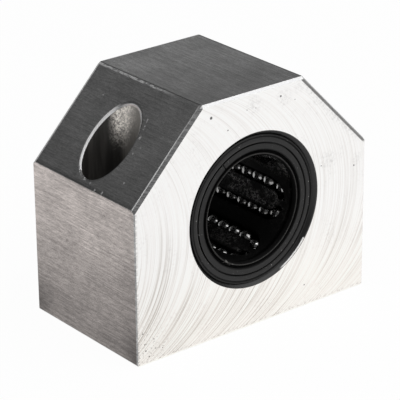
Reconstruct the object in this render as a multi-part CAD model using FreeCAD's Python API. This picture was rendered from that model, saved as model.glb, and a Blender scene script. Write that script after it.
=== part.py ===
import FreeCAD, Part
import math
import os

# Linear bearing block for a 20 mm shaft: a milled and extruded aluminium block that carries one compact
# closed ball bearing. Two vertical screw holes, each with a deep head pocket that breaks out through a
# sloping shoulder, hold the block down.
#
# Frame, in millimetres: X is the block's width, Y runs along the shaft with the front face at -Y, and Z is up
# from the base. The origin lies in the base, below the middle of the bearing.
#
# The bearing is made about its own centre, with the shaft along Y, and then lifted to the shaft's height.
# A ball circuit is made in a frame of its own, with X pointing out from the shaft and Z along the sleeve's
# circumference, and is then turned about the shaft to its place.

Vector = FreeCAD.Vector

# ---------------------------------------------------------------- driving dimensions

# Shaft, balls and their circuits
shaft_diameter = 20.0
ball_diameter = 2.9
ball_gap = 0.2                  # between neighbouring balls of a straight row
balls_per_row = 5
balls_per_turn = 3
circuit_count = 6
first_circuit_angle = -16.0     # degrees from +X towards +Z, to the middle of the first circuit

# Outer sleeve
sleeve_wall = 0.475
track_thickness = 0.60          # raised load tracks inside the sleeve
track_half_angle = 8.0          # degrees, from the middle of a track to its side
track_overrun = 0.2             # past the last ball's centre at each end
track_ramp = 0.6                # length of a track's sloping end
sleeve_corner = 0.12
snap_groove_depth = 0.12
snap_groove_width = 0.5
snap_groove_start = 0.85        # from the sleeve's end

# Ball cage
cage_end_wall = 0.61
loaded_slot_width = 2.3
return_slot_width = 2.0
bridge_width = 1.2              # tongues that tie each loop's island to the cage's ends

# End ring, seal carrier and lip seal, front and rear alike
end_stack_depth = 1.85          # from the sleeve's end to the cage
end_ring_width = 1.0
end_ring_lip_depth = 0.5
end_ring_corner = 0.1
reveal_gap = 0.25               # dark ring between the end ring's lip and the seal carrier
carrier_recess = 0.1
carrier_step = 0.5
carrier_notch_width = 0.25
carrier_notch_depth = 0.25
carrier_notch_angle = 123.0     # degrees from +X towards +Z
lip_reach = 1.1                 # from the lip's tip out to the carrier's bore
lip_rim_recess = 0.12
lip_rim_width = 0.2
lip_rim_corner = 0.05
lip_flare = 0.25                # the rim's inner edge, beyond the tip's radius
lip_cone_depth = 0.5            # from the rim back to the tip
lip_root = 0.6                  # the lip's outer side at the groove's floor, beyond the tip's radius
lip_groove_depth = 0.85         # floor of the groove between lip and carrier, from the sleeve's end
lip_land = 0.3
lip_relief = 0.33
lip_body = 0.38
lip_anchor = 0.62
lip_anchor_start = 0.95
lip_anchor_width = 0.45

# Running and fitting clearances
shaft_running_clearance = 0.05
cage_shaft_clearance = 0.25
bridge_clearance = 0.05
ball_shaft_clearance = 0.01
ball_track_clearance = 0.015
ball_channel_clearance = 0.08
turn_clearance = 0.15
cage_clearance = 0.04
press_gap = 0.02
seat_gap = 0.05
bearing_recess = 0.3

# Block
pocket_diameter = 10.5
pocket_seat_height = 11.0
screw_hole_diameter = 6.6
bore_to_pocket_wall = 0.73
outer_pocket_wall = 1.25
floor_thickness = 8.48
roof_thickness = 8.48
side_height = 29.5
top_width = 23.0
long_edge_radius = 0.5
corner_break = 0.2
top_break = 0.45                # between the top and each end face
shoulder_chamfer_run = 0.8      # along the shoulder
shoulder_chamfer_drop = 0.4     # down the end face
bore_chamfer = 0.63
pocket_rim_chamfer = 0.3
base_hole_chamfer = 0.4

# ---------------------------------------------------------------- derived dimensions

shaft_radius = shaft_diameter / 2
ball_radius = ball_diameter / 2
ball_pitch = ball_diameter + ball_gap
turn_radius = balls_per_turn * ball_pitch / math.pi
turn_centre = balls_per_row * ball_pitch / 2
channel_radius = ball_radius + ball_channel_clearance

loaded_radius = shaft_radius + ball_shaft_clearance + ball_radius
track_radius = loaded_radius + ball_radius + ball_track_clearance
sleeve_inner_radius = track_radius + track_thickness
sleeve_radius = sleeve_inner_radius + sleeve_wall
return_radius = sleeve_inner_radius - turn_clearance - ball_radius

cage_inner_radius = shaft_radius + cage_shaft_clearance
cage_outer_radius = track_radius - cage_clearance
cage_half_length = turn_centre + turn_radius + channel_radius + cage_end_wall
sleeve_half_length = cage_half_length + end_stack_depth

end_ring_outer_radius = sleeve_inner_radius - press_gap
end_ring_inner_radius = sleeve_inner_radius - end_ring_width - press_gap
carrier_face_radius = end_ring_inner_radius - reveal_gap
lip_radius = shaft_radius + shaft_running_clearance
carrier_inner_radius = lip_radius + lip_reach

bore_radius = sleeve_radius + press_gap
pocket_radius = pocket_diameter / 2
screw_half_spacing = bore_radius + bore_to_pocket_wall + pocket_radius
half_width = screw_half_spacing + pocket_radius + outer_pocket_wall
half_length = sleeve_half_length + bearing_recess
shaft_height = floor_thickness + bore_radius
block_height = shaft_height + bore_radius + roof_thickness
half_top = top_width / 2


def circuit_angles():
    """Angles of the ball circuits about the shaft, in degrees from +X towards +Z."""
    return [first_circuit_angle + 360.0 / circuit_count * i for i in range(circuit_count)]


def placed(shape, angle=0.0):
    """A piece of the bearing, turned about the shaft and lifted to the shaft's height."""
    moved = shape.copy()
    moved.rotate(Vector(0, 0, 0), Vector(0, 1, 0), -angle)
    moved.translate(Vector(0, 0, shaft_height))
    return moved


def turned(profile, end=None):
    """A ring turned about the shaft. The profile is (radius, y), or (radius, depth from the sleeve's end)
    where end is -1 for the front or +1 for the rear."""
    points = profile
    if end is not None:
        points = [(r, end * (sleeve_half_length - depth)) for r, depth in profile]
    corners = [Vector(r, y, 0) for r, y in points]
    face = Part.Face(Part.makePolygon(corners + corners[:1]))
    return face.revolve(Vector(0, 0, 0), Vector(0, 1, 0), 360)


def height_over_shaft(radius, offset):
    """How far out a ball centre lies in its circuit's frame, from its radius and its sideways offset."""
    return math.sqrt(radius ** 2 - offset ** 2)


def stadium(half_width, x0, x1, z, reach):
    """A slot along Y with round ends, standing from x0 to x1 in a circuit's frame."""
    body = Part.makeBox(x1 - x0, 2 * reach, 2 * half_width, Vector(x0, -reach, z - half_width))
    ends = [
        Part.makeCylinder(half_width, x1 - x0, Vector(x0, y, z), Vector(1, 0, 0))
        for y in (-reach, reach)
    ]
    return body.multiFuse(ends)


def loop_band(half_width, x0, x1):
    """The band that follows a circuit's loop, standing from x0 to x1 in the circuit's frame."""
    outer = stadium(turn_radius + half_width, x0, x1, 0, turn_centre)
    island = stadium(turn_radius - half_width, x0 - 1, x1 + 1, 0, turn_centre)
    return outer.cut(island)


# ---------------------------------------------------------------- block


def block_prism():
    """The extruded form: upright sides, two sloping shoulders and a flat top, with eased long edges."""
    outline = [
        (-half_width, 0),
        (half_width, 0),
        (half_width, side_height),
        (half_top, block_height),
        (-half_top, block_height),
        (-half_width, side_height),
    ]
    corners = [Vector(x, -half_length, z) for x, z in outline]
    face = Part.Face(Part.makePolygon(corners + corners[:1]))
    prism = face.extrude(Vector(0, 2 * half_length, 0))
    long_edges = [e for e in prism.Edges if abs(e.Length - 2 * half_length) < 1e-6]
    return prism.makeFillet(long_edge_radius, long_edges)


def shoulder_chamfers():
    """Wedges that bevel the shoulders where they meet the front and back faces."""
    run = half_width - half_top
    rise = block_height - side_height
    length = math.hypot(run, rise)
    wedges = []
    for side in (-1, 1):
        along = Vector(-side * run / length, 0, rise / length)
        outward = Vector(side * rise / length, 0, run / length)
        foot = Vector(side * half_width, 0, side_height) - along * length / 2
        for end in (-1, 1):
            edge = foot + Vector(0, end * half_length, 0)
            inner = edge - Vector(0, end * shoulder_chamfer_run, 0)
            low = edge - outward * shoulder_chamfer_drop
            reach = Vector(0, end * shoulder_chamfer_run, 0) - outward * shoulder_chamfer_drop
            corners = [inner, low, low + reach, inner + outward + reach, inner + outward]
            face = Part.Face(Part.makePolygon(corners + corners[:1]))
            wedges.append(face.extrude(along * 2 * length))
    return wedges


def corner_breaks():
    """Small prisms that take the sharpness off the four upright corners."""
    prisms = []
    for side in (-1, 1):
        for end in (-1, 1):
            corner = Vector(side * half_width, end * half_length, 0)
            corners = [
                corner + Vector(-side * corner_break, 0, 0),
                corner + Vector(0, -end * corner_break, 0),
                corner + Vector(side, -end * corner_break, 0),
                corner + Vector(side, end, 0),
                corner + Vector(-side * corner_break, end, 0),
            ]
            face = Part.Face(Part.makePolygon(corners + corners[:1]))
            prisms.append(face.extrude(Vector(0, 0, side_height)))
    return prisms


def top_breaks():
    """Prisms that bevel the top where it meets the front and back faces."""
    prisms = []
    for end in (-1, 1):
        corner = Vector(-half_width, end * half_length, block_height)
        corners = [
            corner + Vector(0, -end * top_break, 0),
            corner + Vector(0, 0, -top_break),
            corner + Vector(0, end, -top_break),
            corner + Vector(0, end, top_break),
            corner + Vector(0, -end * top_break, top_break),
        ]
        face = Part.Face(Part.makePolygon(corners + corners[:1]))
        prisms.append(face.extrude(Vector(2 * half_width, 0, 0)))
    return prisms


def bearing_bore():
    """The through bore with a chamfer at each end."""
    mouth = bore_radius + bore_chamfer
    bore = turned([
        (0, -half_length - 1),
        (mouth + 1, -half_length - 1),
        (bore_radius, -half_length + bore_chamfer),
        (bore_radius, half_length - bore_chamfer),
        (mouth + 1, half_length + 1),
        (0, half_length + 1),
    ])
    return placed(bore)


def screw_hole(x):
    """Clearance hole from the base, with the head pocket above it that breaks out through the shoulder."""
    up = Vector(0, 0, 1)
    hole_radius = screw_hole_diameter / 2
    mouth_radius = hole_radius + base_hole_chamfer
    hole = Part.makeCylinder(hole_radius, pocket_seat_height, Vector(x, 0, 0), up)
    mouth = Part.makeCone(mouth_radius, hole_radius, base_hole_chamfer, Vector(x, 0, 0), up)
    pocket = Part.makeCylinder(
        pocket_radius, block_height - pocket_seat_height, Vector(x, 0, pocket_seat_height), up
    )
    return hole.multiFuse([mouth, pocket])


def pocket_rims(block):
    """The two oval edges where the head pockets break out through the shoulders."""
    rims = []
    for edge in block.Edges:
        box = edge.BoundBox
        on_pocket = abs(box.YLength - pocket_diameter) < 0.01 and abs(box.XLength - pocket_diameter) < 0.01
        if on_pocket and box.ZLength > pocket_radius:
            rims.append(edge)
    return rims


def housing():
    """The aluminium block."""
    cuts = shoulder_chamfers() + corner_breaks() + top_breaks() + [bearing_bore()]
    cuts += [screw_hole(side * screw_half_spacing) for side in (-1, 1)]
    block = block_prism().cut(cuts)
    return block.makeChamfer(pocket_rim_chamfer, pocket_rims(block))


# ---------------------------------------------------------------- bearing sleeve and cage


def load_track(angle):
    """One raised track inside the sleeve, over a loaded row, with its ends sloped for the balls to climb."""
    reach = (balls_per_row - 1) / 2 * ball_pitch + track_overrun
    outer = sleeve_inner_radius + sleeve_wall / 2
    pad = turned([
        (track_radius, -reach + track_ramp),
        (sleeve_inner_radius, -reach - track_ramp),
        (outer, -reach - track_ramp),
        (outer, reach + track_ramp),
        (sleeve_inner_radius, reach + track_ramp),
        (track_radius, reach - track_ramp),
    ])
    spread = math.radians(track_half_angle)
    far = 2 * sleeve_radius
    corners = [
        Vector(0, -half_length, 0),
        Vector(far * math.cos(spread), -half_length, -far * math.sin(spread)),
        Vector(far * math.cos(spread), -half_length, far * math.sin(spread)),
    ]
    sector = Part.Face(Part.makePolygon(corners + corners[:1])).extrude(Vector(0, 2 * half_length, 0))
    pad = pad.common(sector)
    pad.rotate(Vector(0, 0, 0), Vector(0, 1, 0), -angle)
    return pad


def loaded_row_angle():
    """Angle from the middle of a circuit to its loaded row, in degrees."""
    return math.degrees(math.asin(turn_radius / loaded_radius))


def outer_sleeve():
    """The thin steel sleeve, with a snap groove near each end and a raised track over each loaded row."""
    groove_radius = sleeve_inner_radius + snap_groove_depth
    groove_end = snap_groove_start + snap_groove_width
    front = [
        (sleeve_inner_radius, groove_end),
        (groove_radius, groove_end),
        (groove_radius, snap_groove_start),
        (sleeve_inner_radius, snap_groove_start),
        (sleeve_inner_radius, sleeve_corner),
        (sleeve_inner_radius + sleeve_corner, 0),
        (sleeve_radius - sleeve_corner, 0),
        (sleeve_radius, sleeve_corner),
    ]
    rear_wards = [(r, sleeve_half_length - depth) for r, depth in reversed(front)]
    front_wards = [(r, depth - sleeve_half_length) for r, depth in front]
    tube = turned(front_wards + rear_wards)
    tracks = [load_track(angle + loaded_row_angle()) for angle in circuit_angles()]
    return placed(tube.multiFuse(tracks).removeSplitter())


def channel_turn(end, height):
    """Half a ring of round channel, for the balls that go round one end of a circuit."""
    ring = Part.makeTorus(turn_radius, channel_radius, Vector(height, end * turn_centre, 0), Vector(1, 0, 0))
    size = 4 * turn_radius
    y0 = turn_centre if end > 0 else -turn_centre - size
    return ring.common(Part.makeBox(2 * size, size, size, Vector(height - size, y0, -size / 2)))


def circuit_cutters():
    """What one circuit takes out of the cage: a round-bottomed loop, open outwards, and a narrower slot."""
    loaded = height_over_shaft(loaded_radius, turn_radius)
    returned = height_over_shaft(return_radius, turn_radius)
    side_offset = turn_radius * math.cos(math.pi / 2 / balls_per_turn)
    turn = height_over_shaft(return_radius, side_offset)
    along = Vector(0, 1, 0)
    out = sleeve_radius + 1
    core = shaft_radius - 2
    length = 2 * turn_centre
    return [
        Part.makeCylinder(channel_radius, length, Vector(loaded, -turn_centre, turn_radius), along),
        Part.makeCylinder(channel_radius, length, Vector(returned, -turn_centre, -turn_radius), along),
        Part.makeSphere(channel_radius, Vector(loaded, -turn_centre, turn_radius)),
        Part.makeSphere(channel_radius, Vector(loaded, turn_centre, turn_radius)),
        Part.makeSphere(channel_radius, Vector(returned, -turn_centre, -turn_radius)),
        Part.makeSphere(channel_radius, Vector(returned, turn_centre, -turn_radius)),
        channel_turn(-1, turn),
        channel_turn(1, turn),
        loop_band(channel_radius, turn, out),
        stadium(channel_radius, loaded, out, turn_radius, turn_centre),
        stadium(channel_radius, returned, out, -turn_radius, turn_centre),
        loop_band(return_slot_width / 2, core, turn),
        stadium(loaded_slot_width / 2, core, loaded, turn_radius, turn_centre),
    ]


def island_bridge(end):
    """The thin tongue that ties a circuit's island to the cage's end, under the balls in the turn."""
    y0 = turn_centre + turn_radius - channel_radius - cage_end_wall / 2
    y1 = cage_half_length - cage_end_wall / 2
    outer = return_radius - ball_radius - bridge_clearance
    ring = turned([
        (cage_inner_radius, end * y0),
        (outer, end * y0),
        (outer, end * y1),
        (cage_inner_radius, end * y1),
    ])
    side = Part.makeBox(
        sleeve_radius, 2 * cage_half_length, bridge_width, Vector(0, -cage_half_length, -bridge_width / 2)
    )
    return ring.common(side)


def ball_cage():
    """The moulded cage: a tube with one closed ball loop for each circuit."""
    cage = turned([
        (cage_inner_radius, -cage_half_length),
        (cage_outer_radius, -cage_half_length),
        (cage_outer_radius, cage_half_length),
        (cage_inner_radius, cage_half_length),
    ])
    cutters = circuit_cutters()
    cutter = cutters[0].multiFuse(cutters[1:])
    bridges = []
    for angle in circuit_angles():
        tool = cutter.copy()
        tool.rotate(Vector(0, 0, 0), Vector(0, 1, 0), -angle)
        cage = cage.cut(tool)
        for end in (-1, 1):
            bridge = island_bridge(end)
            bridge.rotate(Vector(0, 0, 0), Vector(0, 1, 0), -angle)
            bridges.append(bridge)
    return placed(cage.multiFuse(bridges))


# ---------------------------------------------------------------- ball circuits


def ball(radius, offset, y):
    """One ball, from the radius its centre lies at, its sideways offset and its place along the shaft."""
    return Part.makeSphere(ball_radius, Vector(height_over_shaft(radius, offset), y, offset))


def straight_row(radius, offset):
    """The balls of one straight row."""
    first = -(balls_per_row - 1) / 2 * ball_pitch
    return [ball(radius, offset, first + ball_pitch * i) for i in range(balls_per_row)]


def turn_row(end):
    """The balls that go round one end of a circuit."""
    step = math.pi / balls_per_turn
    balls = []
    for i in range(balls_per_turn):
        angle = step * (i + 0.5)
        balls.append(ball(
            return_radius, turn_radius * math.cos(angle), end * (turn_centre + turn_radius * math.sin(angle))
        ))
    return balls


def ball_groups():
    """Each circuit's balls in four groups: the loaded row, the return row and the two turns."""
    groups = {
        "loaded_balls": straight_row(loaded_radius, turn_radius),
        "return_balls": straight_row(return_radius, -turn_radius),
        "front_turn_balls": turn_row(-1),
        "rear_turn_balls": turn_row(1),
    }
    nodes = {}
    for number, angle in enumerate(circuit_angles(), start=1):
        for name, balls in groups.items():
            nodes[f"circuit_{number}_{name}"] = placed(Part.makeCompound(balls), angle)
    return nodes


# ---------------------------------------------------------------- end rings and seals


def end_ring(end):
    """The ring that closes the sleeve's end, with a snap bead outside and a lip that holds the carrier."""
    bead_radius = end_ring_outer_radius + snap_groove_depth - press_gap
    bead_start = snap_groove_start + seat_gap
    bead_end = snap_groove_start + snap_groove_width - seat_gap
    back = end_stack_depth - 2 * seat_gap
    inner_radius = end_ring_inner_radius + 4 * seat_gap
    return placed(turned([
        (end_ring_inner_radius, seat_gap + end_ring_corner),
        (end_ring_inner_radius + end_ring_corner, seat_gap),
        (end_ring_outer_radius - end_ring_corner, seat_gap),
        (end_ring_outer_radius, seat_gap + end_ring_corner),
        (end_ring_outer_radius, bead_start),
        (bead_radius, bead_start),
        (bead_radius, bead_end),
        (end_ring_outer_radius, bead_end),
        (end_ring_outer_radius, back),
        (inner_radius, back),
        (inner_radius, seat_gap + end_ring_lip_depth),
        (end_ring_inner_radius, seat_gap + end_ring_lip_depth),
    ], end))


def seal_carrier(end):
    """The stiff ring that holds the lip seal. Its raised collar stands in the end ring's lip."""
    shoulder = carrier_recess + carrier_step
    flange_radius = end_ring_inner_radius + 3 * seat_gap
    groove_radius = carrier_inner_radius + lip_anchor
    groove_start = lip_anchor_start - press_gap
    groove_end = lip_anchor_start + lip_anchor_width + press_gap
    back = end_stack_depth - 3 * seat_gap
    ring = turned([
        (carrier_inner_radius, carrier_recess),
        (carrier_face_radius, carrier_recess),
        (carrier_face_radius, shoulder),
        (flange_radius, shoulder),
        (flange_radius, back),
        (carrier_inner_radius, back),
        (carrier_inner_radius, groove_end),
        (groove_radius, groove_end),
        (groove_radius, groove_start),
        (carrier_inner_radius, groove_start),
    ], end)
    y0 = end * (sleeve_half_length - carrier_recess) - carrier_notch_depth
    notch = Part.makeBox(
        sleeve_radius, 2 * carrier_notch_depth, carrier_notch_width, Vector(0, y0, -carrier_notch_width / 2)
    )
    notch.rotate(Vector(0, 0, 0), Vector(0, 1, 0), -carrier_notch_angle)
    return placed(ring.cut(notch))


def lip_seal(end):
    """The rubber ring: a flared lip that wipes the shaft, and a flange anchored in the carrier's groove."""
    outer = carrier_inner_radius - press_gap
    inner = outer - lip_body
    rim_inner = lip_radius + lip_flare
    rim_outer = rim_inner + lip_rim_width
    land_start = lip_rim_recess + lip_cone_depth
    land_end = land_start + lip_land
    anchor_end = lip_anchor_start + lip_anchor_width
    back = end_stack_depth - 4 * seat_gap
    return placed(turned([
        (outer, lip_groove_depth),
        (lip_radius + lip_root, lip_groove_depth),
        (rim_outer, lip_rim_recess + lip_rim_corner),
        (rim_outer - lip_rim_corner, lip_rim_recess),
        (rim_inner + lip_rim_corner, lip_rim_recess),
        (rim_inner, lip_rim_recess + lip_rim_corner),
        (lip_radius, land_start),
        (lip_radius, land_end),
        (inner, land_end + lip_relief),
        (inner, back),
        (outer, back),
        (outer, anchor_end),
        (outer + lip_anchor, anchor_end),
        (outer + lip_anchor, lip_anchor_start),
        (outer, lip_anchor_start),
    ], end))


# ---------------------------------------------------------------- nodes


def build_nodes():
    """Every separate piece, by its node's name."""
    nodes = {
        "housing": housing(),
        "outer_sleeve": outer_sleeve(),
        "ball_cage": ball_cage(),
    }
    for name, end in (("front", -1), ("rear", 1)):
        nodes[f"{name}_end_ring"] = end_ring(end)
        nodes[f"{name}_seal_carrier"] = seal_carrier(end)
        nodes[f"{name}_lip_seal"] = lip_seal(end)
    nodes.update(ball_groups())
    return nodes


os.makedirs("parts", exist_ok=True)
for node_name, shape in build_nodes().items():
    shape.exportStep(f"parts/{node_name}.step")
    print(node_name, len(shape.Solids), shape.isValid(), round(shape.Volume, 3))
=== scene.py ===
"""Linear bearing block: finishes and fine shapes of a machined block with a closed ball bearing."""
import logging
import math
from dataclasses import dataclass, field
from enum import Enum

import bmesh
import bpy
from mathutils import Matrix, Vector


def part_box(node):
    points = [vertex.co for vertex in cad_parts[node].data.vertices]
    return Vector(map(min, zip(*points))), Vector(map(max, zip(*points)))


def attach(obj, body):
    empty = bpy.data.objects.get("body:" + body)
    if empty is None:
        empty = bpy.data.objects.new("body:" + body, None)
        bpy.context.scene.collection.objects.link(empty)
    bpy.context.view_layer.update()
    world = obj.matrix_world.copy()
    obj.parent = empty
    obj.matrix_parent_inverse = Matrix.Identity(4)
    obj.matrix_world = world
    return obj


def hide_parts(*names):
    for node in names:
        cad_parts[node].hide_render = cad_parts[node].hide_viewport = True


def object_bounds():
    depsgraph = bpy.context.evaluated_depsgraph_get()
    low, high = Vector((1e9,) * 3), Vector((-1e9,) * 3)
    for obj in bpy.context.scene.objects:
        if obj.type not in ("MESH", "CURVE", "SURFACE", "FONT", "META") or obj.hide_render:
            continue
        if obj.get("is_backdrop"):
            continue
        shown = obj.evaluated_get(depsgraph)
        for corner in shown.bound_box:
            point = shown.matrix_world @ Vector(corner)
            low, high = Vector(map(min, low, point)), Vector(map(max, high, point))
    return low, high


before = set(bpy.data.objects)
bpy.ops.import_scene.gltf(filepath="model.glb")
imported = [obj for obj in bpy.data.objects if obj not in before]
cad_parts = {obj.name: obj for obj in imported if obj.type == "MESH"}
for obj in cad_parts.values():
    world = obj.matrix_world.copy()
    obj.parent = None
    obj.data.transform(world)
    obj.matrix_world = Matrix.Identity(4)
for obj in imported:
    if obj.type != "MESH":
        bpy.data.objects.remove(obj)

LOG = logging.getLogger("linear_bearing_block")
MM = 0.001
SLEEVE_LOW, SLEEVE_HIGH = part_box("outer_sleeve")
SHAFT_HEIGHT = round((SLEEVE_LOW.z + SLEEVE_HIGH.z) / 2 / MM, 5)
SLEEVE_END = round(SLEEVE_HIGH.y / MM, 5)
FIRST_CIRCUIT_ANGLE = -16.0
CIRCUITS = 6
Socket = bpy.types.NodeSocket
Colour = tuple[float, float, float, float]
Mark = tuple[float, float, float]
Range = tuple[float, float]
Section = list[tuple[float, float]]


class End(Enum):
    """The two ends of the bearing, by the sign of their place along the shaft."""

    FRONT = -1
    REAR = 1

    @property
    def word(self) -> str:
        """The end's name in the nodes' names."""
        return self.name.lower()


def grey(level: float, warmth: float = 0.0) -> Colour:
    """A grey of a linear level."""
    return (level * (1 + warmth), level, level * (1 - warmth), 1.0)


# ---------------------------------------------------------------- finishes


@dataclass(frozen=True)
class Grain:
    """A noise's fineness along x, y and z (per millimetre), its detail and its roughness."""

    fineness: tuple[float, float, float]
    detail: float = 2.0
    roughness: float = 0.5


class Graph:
    """A material's node tree, with short calls for the nodes that the finishes share."""

    def __init__(self, name: str) -> None:
        """Starts a material with one Principled shader.

        Args:
            name: the material's name.
        """
        self.material = bpy.data.materials.new(name)
        self.material.use_nodes = True
        self.nodes = self.material.node_tree.nodes
        self.links = self.material.node_tree.links
        self.shader = self.nodes["Principled BSDF"]
        place = self.nodes.new("ShaderNodeTexCoord")
        scaled = self.nodes.new("ShaderNodeVectorMath")
        scaled.operation = "SCALE"
        scaled.inputs["Scale"].default_value = 1 / MM
        self.links.new(place.outputs["Object"], scaled.inputs[0])
        self.place = scaled.outputs["Vector"]
        self.x, self.y, self.z = self.split(self.place)
        self.rise = self.math("SUBTRACT", self.z, SHAFT_HEIGHT)
        self.radius = self.far(self.x, self.rise)
        self.normal = place.outputs["Normal"]

    def put(self, value: object, socket: Socket) -> None:
        """Links a socket or sets a constant.

        Args:
            value: a socket to link, or a constant.
            socket: the input it goes to.
        """
        if isinstance(value, Socket):
            self.links.new(value, socket)
        else:
            socket.default_value = value

    def split(self, vector: Socket) -> tuple[Socket, Socket, Socket]:
        """The three parts of a vector.

        Args:
            vector: the vector.

        Returns:
            Its x, y and z.
        """
        node = self.nodes.new("ShaderNodeSeparateXYZ")
        self.links.new(vector, node.inputs[0])
        return node.outputs[0], node.outputs[1], node.outputs[2]

    def join(self, x: object, y: object, z: object) -> Socket:
        """A vector from three parts.

        Args:
            x: its x.
            y: its y.
            z: its z.

        Returns:
            The vector.
        """
        node = self.nodes.new("ShaderNodeCombineXYZ")
        for part, socket in zip((x, y, z), node.inputs):
            self.put(part, socket)
        return node.outputs[0]

    def stretch(self, x: float, y: float, z: float) -> Socket:
        """The place, scaled along each axis.

        Args:
            x: the scale along x.
            y: the scale along y.
            z: the scale along z.

        Returns:
            The vector.
        """
        node = self.nodes.new("ShaderNodeVectorMath")
        node.operation = "MULTIPLY"
        self.links.new(self.place, node.inputs[0])
        node.inputs[1].default_value = (x, y, z)
        return node.outputs["Vector"]

    def math(self, operation: str, a: object, b: object = 0.0) -> Socket:
        """One sum.

        Args:
            operation: the sum's name.
            a: the first number.
            b: the second number.

        Returns:
            Its result.
        """
        node = self.nodes.new("ShaderNodeMath")
        node.operation = operation
        self.put(a, node.inputs[0])
        self.put(b, node.inputs[1])
        return node.outputs[0]

    def size(self, value: object) -> Socket:
        """A number without its sign."""
        return self.math("ABSOLUTE", value)

    def far(self, a: object, b: object) -> Socket:
        """The length of a flat vector."""
        return self.math("SQRT", self.math("ADD", self.math("MULTIPLY", a, a), self.math("MULTIPLY", b, b)))

    def degrees(self, up: object, across: object) -> Socket:
        """The direction of a flat vector, in degrees."""
        return self.math("MULTIPLY", self.math("ARCTAN2", up, across), 180 / math.pi)

    def both(self, *masks: object) -> Socket:
        """Where all masks hold.

        Args:
            masks: the masks.

        Returns:
            Their product.
        """
        result = masks[0]
        for mask in masks[1:]:
            result = self.math("MULTIPLY", result, mask)
        return result

    def band(self, value: object, low: float, high: float,
             out_low: float = 0.0, out_high: float = 1.0) -> Socket:
        """A smooth step.

        Args:
            value: what is stepped.
            low: where the step starts.
            high: where it ends.
            out_low: the result at its start.
            out_high: the result at its end.

        Returns:
            The stepped value.
        """
        node = self.nodes.new("ShaderNodeMapRange")
        node.interpolation_type = "SMOOTHSTEP"
        self.put(value, node.inputs["Value"])
        limits = {"From Min": low, "From Max": high, "To Min": out_low, "To Max": out_high}
        for name, number in limits.items():
            node.inputs[name].default_value = number
        return node.outputs["Result"]

    def near(self, value: object, middle: float, reach: float) -> Socket:
        """1 at a middle value, falling to 0."""
        return self.band(self.size(self.math("SUBTRACT", value, middle)), reach * 0.4, reach, 1.0, 0.0)

    def noise(self, vector: Socket, scale: float, detail: float = 2.0, roughness: float = 0.5) -> Socket:
        """Noise about 0.5.

        Args:
            vector: the place.
            scale: the fineness, for each unit of the vector.
            detail: how many finer layers it has.
            roughness: how strong the finer layers are.

        Returns:
            Its value.
        """
        node = self.nodes.new("ShaderNodeTexNoise")
        self.put(vector, node.inputs["Vector"])
        node.inputs["Scale"].default_value = scale
        node.inputs["Detail"].default_value = detail
        node.inputs["Roughness"].default_value = roughness
        return node.outputs["Fac"]

    def grain(self, grain: Grain) -> Socket:
        """Noise laid over the object."""
        return self.noise(self.stretch(*grain.fineness), 1.0, grain.detail, grain.roughness)

    def blend(self, factor: object, a: object, b: object) -> Socket:
        """A colour between two.

        Args:
            factor: the share of the second.
            a: the first colour.
            b: the second colour.

        Returns:
            The colour.
        """
        node = self.nodes.new("ShaderNodeMix")
        node.data_type = "RGBA"
        self.put(factor, node.inputs[0])
        self.put(a, node.inputs[6])
        self.put(b, node.inputs[7])
        return node.outputs[2]

    def mix(self, factor: object, a: object, b: object) -> Socket:
        """A number between two.

        Args:
            factor: the share of the second.
            a: the first number.
            b: the second number.

        Returns:
            The number.
        """
        node = self.nodes.new("ShaderNodeMix")
        self.put(factor, node.inputs[0])
        self.put(a, node.inputs[2])
        self.put(b, node.inputs[3])
        return node.outputs[0]

    def tint(self, level: object, red: object, blue: object) -> Socket:
        """A grey from a number.

        Args:
            level: the grey's level.
            red: the share that red has more.
            blue: the share that blue has less.

        Returns:
            The colour.
        """
        node = self.nodes.new("ShaderNodeCombineColor")
        shares = (self.math("ADD", 1.0, red), 1.0, self.math("SUBTRACT", 1.0, blue))
        for socket, share in zip(node.inputs, shares):
            self.links.new(self.math("MULTIPLY", level, share), socket)
        return node.outputs[0]

    def marks(self, across: object, up: object, marks: tuple[Mark, ...]) -> Socket:
        """Small round marks.

        Args:
            across: the place across the face.
            up: the place up the face.
            marks: each mark's place across, place up and radius.

        Returns:
            The mask.
        """
        mask: object = 0.0
        for at_across, at_up, radius in marks:
            away = self.far(self.math("SUBTRACT", across, at_across), self.math("SUBTRACT", up, at_up))
            mask = self.math("MAXIMUM", mask, self.band(away, radius * 0.5, radius, 1.0, 0.0))
        return mask

    def bump(self, height: Socket, distance_mm: float, strength: object = 1.0) -> Socket:
        """A bumped normal.

        Args:
            height: the height.
            distance_mm: how deep a height of 1 is.
            strength: the strength.

        Returns:
            The normal.
        """
        node = self.nodes.new("ShaderNodeBump")
        self.put(strength, node.inputs["Strength"])
        node.inputs["Distance"].default_value = distance_mm * MM
        self.links.new(height, node.inputs["Height"])
        return node.outputs["Normal"]

    def surface(self, **inputs: object) -> None:
        """Sets the shader's inputs."""
        for name, value in inputs.items():
            self.put(value, self.shader.inputs[name.replace("_", " ")])


@dataclass
class Coat:
    """A finish built up mask by mask: its level, its tint's red and blue, share of metal and roughness."""

    g: Graph
    level: object
    red: object = 0.0
    blue: object = 0.0
    metal: object = 1.0
    rough: object = 0.4

    def over(self, mask: object, **values: object) -> None:
        """Lays values over a place."""
        for name, value in values.items():
            setattr(self, name, self.g.mix(mask, getattr(self, name), value))

    def dim(self, mask: object, share: float) -> None:
        """Darkens a place."""
        kept = self.g.math("SUBTRACT", 1.0, self.g.math("MULTIPLY", mask, share))
        self.level = self.g.both(self.level, kept)

    def finish(self, normal: Socket) -> None:
        """Sets the shader."""
        self.g.surface(Base_Color=self.g.tint(self.level, self.red, self.blue), Roughness=self.rough,
                       Metallic=self.metal, Normal=normal)


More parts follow.
